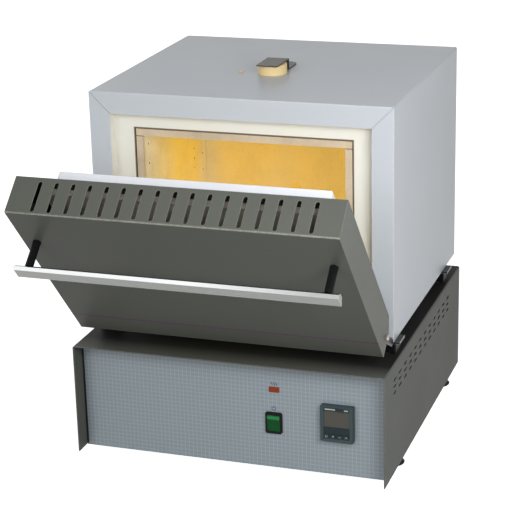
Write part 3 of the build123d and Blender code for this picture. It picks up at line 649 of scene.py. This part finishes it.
class FURNACE_OT_base(bpy.types.Operator):
    """Paint the base's hood and its rubber feet"""
    bl_idname = "furnace.base"
    bl_label = "Base paint"

    def execute(self, context):
        tone = colours()
        made, tree, shader, shade = paint("base_paint", tuple(tone.base), tuple(tone.dark_fold_highlight), 0.4, 0.02,
                                          painted_edge_share=0.6, mottle=0.1)
        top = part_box("base_hood")[1].z
        where = parts_of(tree, own_place(tree))
        # painted shade on the hood's top, under the door
        under_door_shade = sum_up(tree, "MULTIPLY", between(tree, where["Z"], top - SKIN - FADE, top - SKIN),
                       between(tree, where["Y"], HOOD_SHADE_FROM, HOOD_SHADE_TO))
        shaded = blend(tree, sum_up(tree, "MULTIPLY", under_door_shade, HOOD_SHADE), shade, colour(22, 22, 23))
        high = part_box("base_hood")[1]
        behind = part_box("control_panel")[1].y
        aside = sum_up(tree, "ABSOLUTE", where["X"])
        edge = high.x - HOOD_INSIDE
        # painted shade: the hood's inner faces, seen through its side slots, are made near black
        inside = between(tree, aside, edge, edge + HOLLOW_SOFT, 1.0, 0.0)
        inside = sum_up(tree, "MULTIPLY", inside, band(tree, where["Y"], behind + 0.001, high.y - 0.003))
        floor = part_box("base_floor")[0].z
        inside = sum_up(tree, "MULTIPLY", inside, band(tree, where["Z"], floor + 0.001, top - 0.001))
        hollow_shade = blend(tree, inside, shaded, colour(12, 12, 12))
        tree.links.new(hollow_shade, shader.inputs["Base Color"])
        cover(made, "base_paint")
        cover(moulded("foot_rubber", colour(34, 34, 34), 0.62, colour(80, 80, 80))[0], "foot_rubber")
        return {"FINISHED"}


class FURNACE_OT_panel(bpy.types.Operator):
    """Print the fine grid on the control panel"""
    bl_idname = "furnace.panel"
    bl_label = "Control panel"

    def execute(self, context):
        tone = colours()
        size = sizes()
        made, tree, shader = finish("panel_print")
        coated = use_effect(tree, "Powder Coat", Color=tuple(tone.panel), Gloss=0.38, Mottle=0.08,
                            Grain_Scale=700.0)
        where = parts_of(tree, own_place(tree))
        lines = None
        for axis in ("X", "Z"):
            wave = sum_up(tree, "PINGPONG", where[axis], size.grid_pitch / 2)
            line = between(tree, wave, size.grid_line * 0.3, size.grid_line * 0.7, 0.7, 0.0)
            lines = line if lines is None else sum_up(tree, "MAXIMUM", lines, line)
        printed = blend(tree, lines, coated["Color"], tuple(tone.panel_grid))
        # painted shade: the panel's outer strip at each side is made near black, for the shadowed gap beside the
        # hood
        aside = sum_up(tree, "ABSOLUTE", where["X"])
        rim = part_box("control_panel")[1].x - size.panel_side_shade
        shade = blend(tree, between(tree, aside, rim - 0.0002, rim), printed, colour(14, 16, 18))
        tree.links.new(shade, shader.inputs["Base Color"])
        tree.links.new(coated["Roughness"], shader.inputs["Roughness"])
        bump(tree, shader, lines, 0.1, 0.0001)
        cover(made, "panel_print")
        return {"FINISHED"}


class FURNACE_OT_door(bpy.types.Operator):
    """Paint the door with its thin stripe, and finish what is inside it"""
    bl_idname = "furnace.door"
    bl_label = "Door"

    def execute(self, context):
        tone = colours()
        size = sizes()
        made, tree, shader, shade = paint("door_paint", tuple(tone.door), tuple(tone.dark_fold_highlight), 0.4, 0.05,
                                          painted_edge_share=0.75, mottle=0.1)
        up, back = door_place(tree)
        low = size.stripe_up - DOOR_BELOW_PIVOT
        face = between(tree, back, SKIN - DOOR_AHEAD_OF_PIVOT, FADE - DOOR_AHEAD_OF_PIVOT, 1.0, 0.0)
        stripe = sum_up(tree, "MULTIPLY", band(tree, up, low, low + size.stripe_width), face)
        # painted highlight along the fold between the door's top and its face, broken up by noise
        highest = max(door_up(v.co) for v in frame["nodes"]["door_shell"].data.vertices)
        fold = sum_up(tree, "ADD", highest + DOOR_AHEAD_OF_PIVOT, back)
        from_fold = sum_up(tree, "SUBTRACT", fold, up)
        highlight_breakup = between(tree, grain(tree, own_place(tree), 260.0, 3.0), 0.35, 0.6, 0.45, 1.0)
        fold_highlight = sum_up(tree, "MULTIPLY", between(tree, from_fold, FOLD_HIGHLIGHT_FULL, FOLD_HIGHLIGHT_END, 1.0, 0.0), highlight_breakup)
        folded = blend(tree, fold_highlight, shade, tuple(tone.door_fold_highlight))
        striped = blend(tree, stripe, folded, tuple(tone.stripe))
        tree.links.new(striped, shader.inputs["Base Color"])
        cover(made, "door_paint")
        made, tree, shader = metal("door_inner_steel", colour(186, 180, 166), (8.0, 500.0, 500.0),
                                   0.55, 0.3)
        shader.inputs["Metallic"].default_value = 0.2
        up, back = door_place(tree)
        front = min(door_back(v.co) for v in frame["nodes"]["door_back_plate"].data.vertices)
        # painted shade: the back plate's face toward the door's cavity is made near black
        inside = between(tree, back, front + SKIN, front + FADE, 1.0, 0.0)
        cavity_shaded = blend(tree, inside, shade_now(shader), colour(20, 20, 20))
        tree.links.new(cavity_shaded, shader.inputs["Base Color"])
        cover(made, "door_inner_steel")
        board = clay("shield_board", colour(226, 216, 196), colour(150, 140, 120), 0.5, 0.4)[0]
        cover_nodes(board, "door_shield")
        made, tree, shader = metal("handle_metal", colour(124, 125, 122), (5.0, 1400.0, 1400.0), 0.3, 0.14,
                                   edge=(0.97, 0.97, 0.97), painted_edge_share=0.6)
        up, back = door_place(tree)
        corners = [v.co for v in frame["nodes"]["handle_bar"].data.vertices]
        top = max(door_up(corner) for corner in corners)
        ridge = min(door_back(corner) for corner in corners) + HANDLE_RIDGE
        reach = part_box("handle_bar")[1].x
        across = parts_of(tree, own_place(tree))["X"]
        # painted highlight on the handle's upper slope, fading along it, and painted shade on the slope's part
        # behind the ridge
        highlight_fade = between(tree, across, 0.1 * reach, 0.9 * reach, 1.0, 0.3)
        slope = between(tree, up, top - HANDLE_BEVEL, top - HANDLE_BEVEL + HANDLE_SOFT)
        bright = sum_up(tree, "MULTIPLY", slope, highlight_fade)
        behind = between(tree, back, ridge, ridge + 0.0004)
        highlighted = blend(tree, bright, shade_now(shader), colour(208, 210, 210))
        shade = blend(tree, sum_up(tree, "MULTIPLY", bright, behind), highlighted, colour(84, 85, 84))
        tree.links.new(shade, shader.inputs["Base Color"])
        cover(made, "handle_metal")
        return {"FINISHED"}


class FURNACE_OT_fittings(bpy.types.Operator):
    """Finish the stand-offs, brackets, washers, pins, vent cover and black plastic"""
    bl_idname = "furnace.fittings"
    bl_label = "Small metal and plastic"

    def execute(self, context):
        zinc = metal("zinc_steel", colour(196, 196, 190), (300.0, 20.0, 300.0), 0.3, 0.2)[0]
        cover(zinc, "zinc_steel")
        made, tree, shader = metal("bracket_steel", colour(40, 41, 41), (300.0, 20.0, 300.0), 0.4, 0.2,
                                   edge=colour(226, 226, 220), painted_edge_share=1.0)
        shader.inputs["Metallic"].default_value = 0.5
        cover_nodes(made, "hinge_bracket_left", "hinge_bracket_right", "rear_stand_plates")
        made, tree, shader = metal("copper", colour(214, 122, 86), (260.0, 260.0, 260.0), 0.3, 0.25,
                                   edge=colour(240, 176, 146))
        shader.inputs["Metallic"].default_value = 0.4
        cover(made, "copper")
        pins = metal("brass_pins", colour(168, 164, 152), (200.0, 200.0, 200.0), 0.36, 0.2,
                     edge=colour(220, 216, 206))[0]
        cover(pins, "brass_pins")
        made, tree, shader = metal("vent_steel", colour(72, 70, 64), (500.0, 14.0, 500.0), 0.45, 0.3,
                                   edge=colour(60, 58, 52), painted_edge_share=0.7)
        shader.inputs["Metallic"].default_value = 0.4
        cover(made, "vent_steel")
        black = moulded("black_plastic", colour(16, 16, 17), 0.42, colour(56, 58, 60), shine=0.1)[0]
        cover(black, "black_plastic")
        return {"FINISHED"}


class FURNACE_OT_chamber(bpy.types.Operator):
    """Finish the collar, the chamber's lining with its painted warm glow, and the vent's ceramic"""
    bl_idname = "furnace.chamber"
    bl_label = "Chamber"

    def execute(self, context):
        tone = colours()
        size = sizes()
        made, tree, shader, shade = clay("fibre_board", tuple(tone.fibre), colour(236, 230, 210), 0.3, 0.1)
        where = parts_of(tree, own_place(tree))
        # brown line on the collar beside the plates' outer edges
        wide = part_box("plate_right")[1].x + size.mouth_line
        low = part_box("plate_bottom")[0].z - size.mouth_line
        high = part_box("plate_top")[1].z + size.mouth_line
        off_middle = sum_up(tree, "ABSOLUTE", where["X"])
        aside = between(tree, off_middle, wide - MOUTH_LINE_SOFT, wide + MOUTH_LINE_SOFT / 2, 1.0, 0.0)
        near = sum_up(tree, "MULTIPLY", aside, band(tree, where["Z"], low, high, 0.0003))
        lined = blend(tree, sum_up(tree, "MULTIPLY", near, 0.9), shade, colour(92, 68, 40))
        tree.links.new(lined, shader.inputs["Base Color"])
        cover(made, "fibre_board")
        board = clay("plug_board", tuple(tone.plug), colour(222, 226, 234), 0.3, 0.1)[0]
        cover_nodes(board, "door_plug")
        made, tree, shader, shade = clay("element_ceramic", tuple(tone.brick), colour(142, 118, 88),
                                         0.35, 0.7)
        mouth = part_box("plate_top")[0].y
        where = parts_of(tree, own_place(tree))
        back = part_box("plate_back")[0].y
        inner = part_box("plate_left")[1].x
        # painted light: the lining's colour warms and it emits more, deeper in
        deep = between(tree, where["Y"], mouth + PAINTED_GLOW_FROM, mouth + PAINTED_GLOW_FULL)
        uneven = between(tree, grain(tree, own_place(tree), 16.0, 4.0), 0.35, 0.65, 0.8, 1.0)
        aside = sum_up(tree, "ABSOLUTE", where["X"])
        # painted shade: less painted light in the corners by the back and side walls
        far = between(tree, where["Y"], back - CORNER_FROM[0], back - CORNER_FULL[0])
        beside = between(tree, aside, -inner - CORNER_FROM[1], -inner - CORNER_FULL[1])
        corner = sum_up(tree, "MULTIPLY", far, beside)
        corner_shaded = sum_up(tree, "SUBTRACT", 1.0, sum_up(tree, "MULTIPLY", corner, CORNER_SHADE))
        share = sum_up(tree, "MULTIPLY", sum_up(tree, "MULTIPLY", deep, uneven), corner_shaded)
        in_hole = between(tree, aside, -inner + 0.0002, -inner + 0.0006)
        rear = between(tree, where["Y"], back - 0.0003, back)
        clear = sum_up(tree, "SUBTRACT", 1.0, in_hole)
        glow_tinted = blend(tree, sum_up(tree, "MULTIPLY", share, 0.5), shade, colour(240, 196, 100))
        # painted shade: the walls of the plates' holes, deeper than the mouth, are made dark brown
        hole_shade = sum_up(tree, "MULTIPLY", in_hole, between(tree, where["Y"], mouth + 0.002, mouth + 0.004))
        tree.links.new(blend(tree, hole_shade, glow_tinted, colour(96, 66, 34)), shader.inputs["Base Color"])
        # painted light: the lining emits a warm colour deep in and a pale colour just inside the mouth
        glow_tone = blend(tree, rear, tuple(tone.glow), tuple(tone.painted_back_glow))
        entered = sum_up(tree, "MULTIPLY", between(tree, where["Y"], mouth + 0.002, mouth + 0.008), clear)
        mouth_painted_light = blend(tree, entered, (0.0, 0.0, 0.0), tuple(tone.painted_mouth_light))
        warm = blend(tree, sum_up(tree, "MULTIPLY", share, clear), mouth_painted_light, glow_tone)
        flecks = between(tree, grain(tree, own_place(tree), 420.0, 4.0, 0.65), 0.55, 0.66, 1.0, 0.62)
        fleck = add(tree, "CombineColor", None, Red=flecks, Green=flecks, Blue=flecks).outputs[0]
        tree.links.new(blend(tree, 1.0, warm, fleck, "MULTIPLY"), shader.inputs["Emission Color"])
        shader.inputs["Emission Strength"].default_value = 1.0
        cover(made, "element_ceramic")
        made, tree, shader, shade = clay("probe_ceramic", colour(240, 206, 130), colour(214, 170, 90),
                                         0.3, 0.2, 0.6)
        # painted light: the probe emits the back's warm colour
        shader.inputs["Emission Color"].default_value = (*tone.painted_back_glow, 1.0)
        shader.inputs["Emission Strength"].default_value = 0.8
        cover(made, "probe_ceramic")
        made, tree, shader, shade = clay("vent_ceramic", tuple(tone.bush), colour(170, 140, 90),
                                         0.25, 0.2, 0.7)
        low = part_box("case_shell")[1].z
        height = parts_of(tree, own_place(tree))["Z"]
        dark = between(tree, height, low + 0.0001, low + 0.0006, 0.6, 0.0)
        tree.links.new(blend(tree, dark, shade, colour(70, 60, 44)), shader.inputs["Base Color"])
        cover(made, "vent_ceramic")
        return {"FINISHED"}


class FURNACE_OT_controls(bpy.types.Operator):
    """Finish the controller, the rocker switch and the lamp"""
    bl_idname = "furnace.controls"
    bl_label = "Controls"

    def execute(self, context):
        tone = colours()
        made, tree, shader, shade = moulded("bezel_plastic", colour(58, 70, 73), 0.42,
                                            colour(98, 110, 114))
        low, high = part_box("controller_window")
        where = parts_of(tree, own_place(tree))
        across = band(tree, where["X"], low.x - DARK_RIM, high.x + DARK_RIM)
        below = band(tree, where["Z"], low.z - KEYS_DOWN, low.z + 0.0004)
        dark = sum_up(tree, "MULTIPLY", across, below)
        above = sum_up(tree, "MULTIPLY", across, band(tree, where["Z"], high.z, high.z + HEADER_UP))
        either = sum_up(tree, "MAXIMUM", dark, above)
        tree.links.new(blend(tree, either, shade, colour(30, 42, 46)), shader.inputs["Base Color"])
        cover(made, "bezel_plastic")
        made, tree, shader = finish("window", Specular_IOR_Level=0.3, Coat_Weight=0.1, Coat_Roughness=0.05)
        veil = use_effect(tree, "Powder Coat", Color=colour(58, 55, 47), Gloss=0.22, Mottle=0.1,
                          Grain_Scale=300.0)
        tree.links.new(veil["Color"], shader.inputs["Base Color"])
        tree.links.new(veil["Roughness"], shader.inputs["Roughness"])
        cover(made, "window")
        cover(moulded("key_rubber", colour(40, 52, 56), 0.5, colour(82, 96, 100))[0], "key_rubber")
        made, tree, shader, shade = moulded("green_rocker", tuple(tone.rocker), 0.35,
                                            colour(90, 180, 120), shine=0.08)
        low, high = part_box("switch_rocker")
        middle = (low.z + high.z) / 2
        height = parts_of(tree, own_place(tree))["Z"]
        # painted highlight on the rocker's upper slope
        painted_highlight = between(tree, height, middle + ROCKER_HIGHLIGHT[0], middle + ROCKER_HIGHLIGHT[1], 0.0, 0.45)
        tree.links.new(blend(tree, painted_highlight, shade, colour(70, 176, 110)), shader.inputs["Base Color"])
        cover(made, "green_rocker")
        made, tree, shader, shade = moulded("lamp_lens", tuple(tone.lamp), 0.3,
                                            colour(226, 130, 90), shine=0.05)
        place = parts_of(tree, own_place(tree))
        ribs = sum_up(tree, "PINGPONG", place["X"], LENS_RIB)
        ribbed = between(tree, ribs, 0.0, LENS_RIB, 0.0, 0.15)
        tree.links.new(blend(tree, ribbed, shade, colour(232, 140, 96)), shader.inputs["Base Color"])
        cover(made, "lamp_lens")
        return {"FINISHED"}


class FURNACE_OT_marks(bpy.types.Operator):
    """Print plain symbols on the panel, the rocker and the controller"""
    bl_idname = "furnace.marks"
    bl_label = "Printed marks"

    def execute(self, context):
        tone = colours()
        size = sizes()
        made = moulded("panel_ink", tuple(tone.panel_ink), 0.5, tuple(tone.panel_ink))[0]
        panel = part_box("control_panel")[0].y
        low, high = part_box("switch_bezel")
        x = (low.x + high.x) / 2
        z = high.z + POWER_UP
        strokes = [arc(x, z, POWER_RING, 35, 325), [(x, z + 0.0005), (x, z + 0.0034)]]
        ink("power_symbol", strokes, size.mark_line, panel, made, "furnace")
        low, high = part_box("lamp_lens")
        middle = (low.x + high.x) / 2
        strokes = [self.heat_wave(middle + shift, high.z + HEAT_UP)
                   for shift in (-HEAT_PITCH, 0.0, HEAT_PITCH)]
        ink("heat_symbol", strokes, size.mark_line, panel, made, "furnace")
        pale = colour(166, 174, 174)
        light = moulded("bezel_print", pale, 0.4, pale)[0]
        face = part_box("controller_bezel")[0].y
        low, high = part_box("controller_window")
        bottom = high.z + 0.0016
        top = high.z + 0.0034
        bars = [bar(left, right, bottom, top, face, BAR_PROUD, BAR_EDGE)
                for left, right in ((low.x + 0.0014, low.x + 0.0150), (high.x - 0.0064, high.x - 0.0014))]
        settle(join(bars), "controller_header_bars", light, "furnace")
        self.key_marks(light)
        self.rocker_marks(light)
        return {"FINISHED"}

    def heat_wave(self, x, z):
        """One wavy line of the heat symbol, upwards from a point."""
        steps = range(WAVE_STEPS + 1)
        return [(x + HEAT_WAVE * sin(2 * pi * i / WAVE_STEPS), z + HEAT_HIGH * i / WAVE_STEPS)
                for i in steps]

    def key_marks(self, light):
        """An open ring, a crossed ring, a down arrow and an up arrow, one on each key."""
        for number in range(1, 5):
            low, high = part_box("key_" + str(number))
            x = (low.x + high.x) / 2
            z = (low.z + high.z) / 2
            if number == 1:
                strokes = [arc(x, z, KEY_MARK, 40, 320)]
            elif number == 2:
                side = KEY_MARK * 1.1
                strokes = [arc(x, z, KEY_MARK * 0.5, 0, 360), [(x - side, z), (x + side, z)]]
            else:
                way = KEY_MARK if number == 4 else -KEY_MARK
                strokes = [[(x - KEY_MARK, z - way * 0.5), (x, z + way * 0.7),
                            (x + KEY_MARK, z - way * 0.5)]]
            ink("key_mark_" + str(number), strokes, KEY_LINE, low.y, light,
                "key_" + str(number) + "_body")

    def rocker_marks(self, light):
        """A line for on and a ring for off, on the rocker's two slopes."""
        low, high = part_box("switch_rocker")
        x = (low.x + high.x) / 2
        middle = (low.z + high.z) / 2
        green = moulded("rocker_print", colour(20, 74, 40), 0.4, colour(20, 74, 40))[0]
        rocker = frame["nodes"]["switch_rocker"]
        marks = (("rocker_line", [[(x, middle + 0.0032), (x, middle + 0.0068)]]),
                 ("rocker_ring", [arc(x, middle - ROCKER_RING_DOWN, ROCKER_RING, 0, 360)]))
        for name, strokes in marks:
            spots = [point[1] for stroke in strokes for point in stroke]
            ahead = Vector((x + 0.0001, low.y - 0.05, sum(spots) / len(spots)))
            hit, at, normal = rocker.ray_cast(ahead, Vector((0, 1, 0)))[:3]
            if not hit:
                raise RuntimeError("the rocker's face isn't where its marks go")
            piece = ink(name, strokes, ROCKER_LINE, 0.0, green, "rocker")
            slope = -normal.z / normal.y
            for vertex in piece.data.vertices:
                vertex.co.y += at.y + slope * (vertex.co.z - at.z)


class FURNACE_OT_screws(bpy.types.Operator):
    """Screw the back panels on"""
    bl_idname = "furnace.screws"
    bl_label = "Back screws"

    def execute(self, context):
        radius = sizes().screw_head
        made = metal("screw_zinc", colour(176, 176, 172), (400.0, 400.0, 400.0), 0.34, 0.25)[0]
        for node, name, rows in (("case_back_panel", "case_back_screws", (0.0, 0.5, 1.0)),
                                 ("base_back", "base_back_screws", (0.0, 1.0))):
            low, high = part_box(node)
            seat = high.y + SCREW_HIGH / 2 - SKIN
            bottom = low.z + SCREW_INSET
            top = high.z - SCREW_INSET
            places = []
            for share in rows:
                z = bottom + share * (top - bottom)
                for x in (low.x + SCREW_INSET, high.x - SCREW_INSET):
                    places.append(Vector((x, seat, z)))
            for z in (bottom, top):
                places.append(Vector((0.0, seat, z)))
            screws = join(copies(cross_screw(radius, SCREW_HIGH), places))
            settle(screws, name, made, "furnace")
        return {"FINISHED"}


class FURNACE_OT_stage(bpy.types.Operator):
    """Lay the white floor, hang the soft lamps and set the camera"""
    bl_idname = "furnace.stage"
    bl_label = "Stage"

    def seen(self, tree):
        """1 where a ray from the camera, a reflection or glass meets the stage."""
        path = add(tree, "LightPath").outputs
        either = sum_up(tree, "MAXIMUM", path["Is Camera Ray"], path["Is Glossy Ray"])
        return sum_up(tree, "MAXIMUM", either, path["Is Transmission Ray"])

    def execute(self, context):
        scene = context.scene
        scene.view_settings.view_transform = "Standard"
        bpy.ops.mesh.primitive_circle_add(vertices=96, radius=FLOOR_RADIUS, fill_type="NGON",
                                          location=(0, 0, 0))
        floor = active()
        floor.name = "floor"
        made, tree, shader = finish("floor_white", Roughness=0.9)
        seen = self.seen(tree)
        tree.links.new(blend(tree, seen, FLOOR_PLAIN, FLOOR_SEEN), shader.inputs["Base Color"])
        shader.inputs["Emission Color"].default_value = (1.0, 1.0, 1.0, 1.0)
        tree.links.new(sum_up(tree, "MULTIPLY", seen, FLOOR_GLOW), shader.inputs["Emission Strength"])
        floor.data.materials.append(made)
        world = bpy.data.worlds.new("studio")
        scene.world = world
        world.use_nodes = True
        tree = world.node_tree
        ground = tree.nodes["Background"]
        ground.inputs["Color"].default_value = (1.0, 1.0, 1.0, 1.0)
        strength = between(tree, self.seen(tree), 0.0, 1.0, WORLD_LIGHT, 1.0)
        tree.links.new(strength, ground.inputs["Strength"])
        for name, place, side, power, mirrored in LAMPS:
            lamp = bpy.data.lights.new(name, "AREA")
            lamp.size = side
            lamp.energy = power
            stand = bpy.data.objects.new(name, lamp)
            context.collection.objects.link(stand)
            stand.location = place
            stand.visible_glossy = mirrored
            stand.rotation_euler = (LAMP_AIM - Vector(place)).to_track_quat("-Z", "Y").to_euler()
        camera = bpy.data.cameras.new("camera")
        camera.sensor_width = SENSOR_WIDTH
        camera.lens = CAMERA_LENS
        camera.clip_end = 60.0
        stand = bpy.data.objects.new("camera", camera)
        context.collection.objects.link(stand)
        stand.location = CAMERA_PLACE
        stand.rotation_euler = tuple(radians(angle) for angle in CAMERA_TURN)
        scene.camera = stand
        return {"FINISHED"}


class FURNACE_PT_panel(bpy.types.Panel):
    """Lists the furnace's operators, colours and sizes"""
    bl_idname = "FURNACE_PT_panel"
    bl_label = "Muffle Furnace"
    bl_space_type = "VIEW_3D"
    bl_region_type = "UI"
    bl_category = "Furnace"

    def draw(self, context):
        for step in STEPS:
            self.layout.operator(step.bl_idname)
        for group in (colours(), sizes()):
            for key in type(group).__annotations__:
                self.layout.prop(group, key)


STEPS = (FURNACE_OT_effects, FURNACE_OT_case, FURNACE_OT_base, FURNACE_OT_panel, FURNACE_OT_door,
         FURNACE_OT_fittings, FURNACE_OT_chamber, FURNACE_OT_controls, FURNACE_OT_marks,
         FURNACE_OT_screws, FURNACE_OT_stage)
CLASSES = (FurnaceColours, FurnaceSizes, *STEPS, FURNACE_PT_panel)


def register():
    """Make Blender know the classes and give the scene their settings."""
    for kind in CLASSES:
        bpy.utils.register_class(kind)
    bpy.types.Scene.furnace_colours = bpy.props.PointerProperty(type=FurnaceColours)
    bpy.types.Scene.furnace_sizes = bpy.props.PointerProperty(type=FurnaceSizes)


def unregister():
    """Take the settings and classes away again."""
    del bpy.types.Scene.furnace_sizes
    del bpy.types.Scene.furnace_colours
    for kind in reversed(CLASSES):
        bpy.utils.unregister_class(kind)


def main():
    """Dress the furnace."""
    register()
    bpy.ops.furnace.effects()
    bpy.ops.furnace.case()
    bpy.ops.furnace.base()
    bpy.ops.furnace.panel()
    bpy.ops.furnace.door()
    bpy.ops.furnace.fittings()
    bpy.ops.furnace.chamber()
    bpy.ops.furnace.controls()
    bpy.ops.furnace.marks()
    bpy.ops.furnace.screws()
    bpy.ops.furnace.stage()


if __name__ == "__main__":
    main()
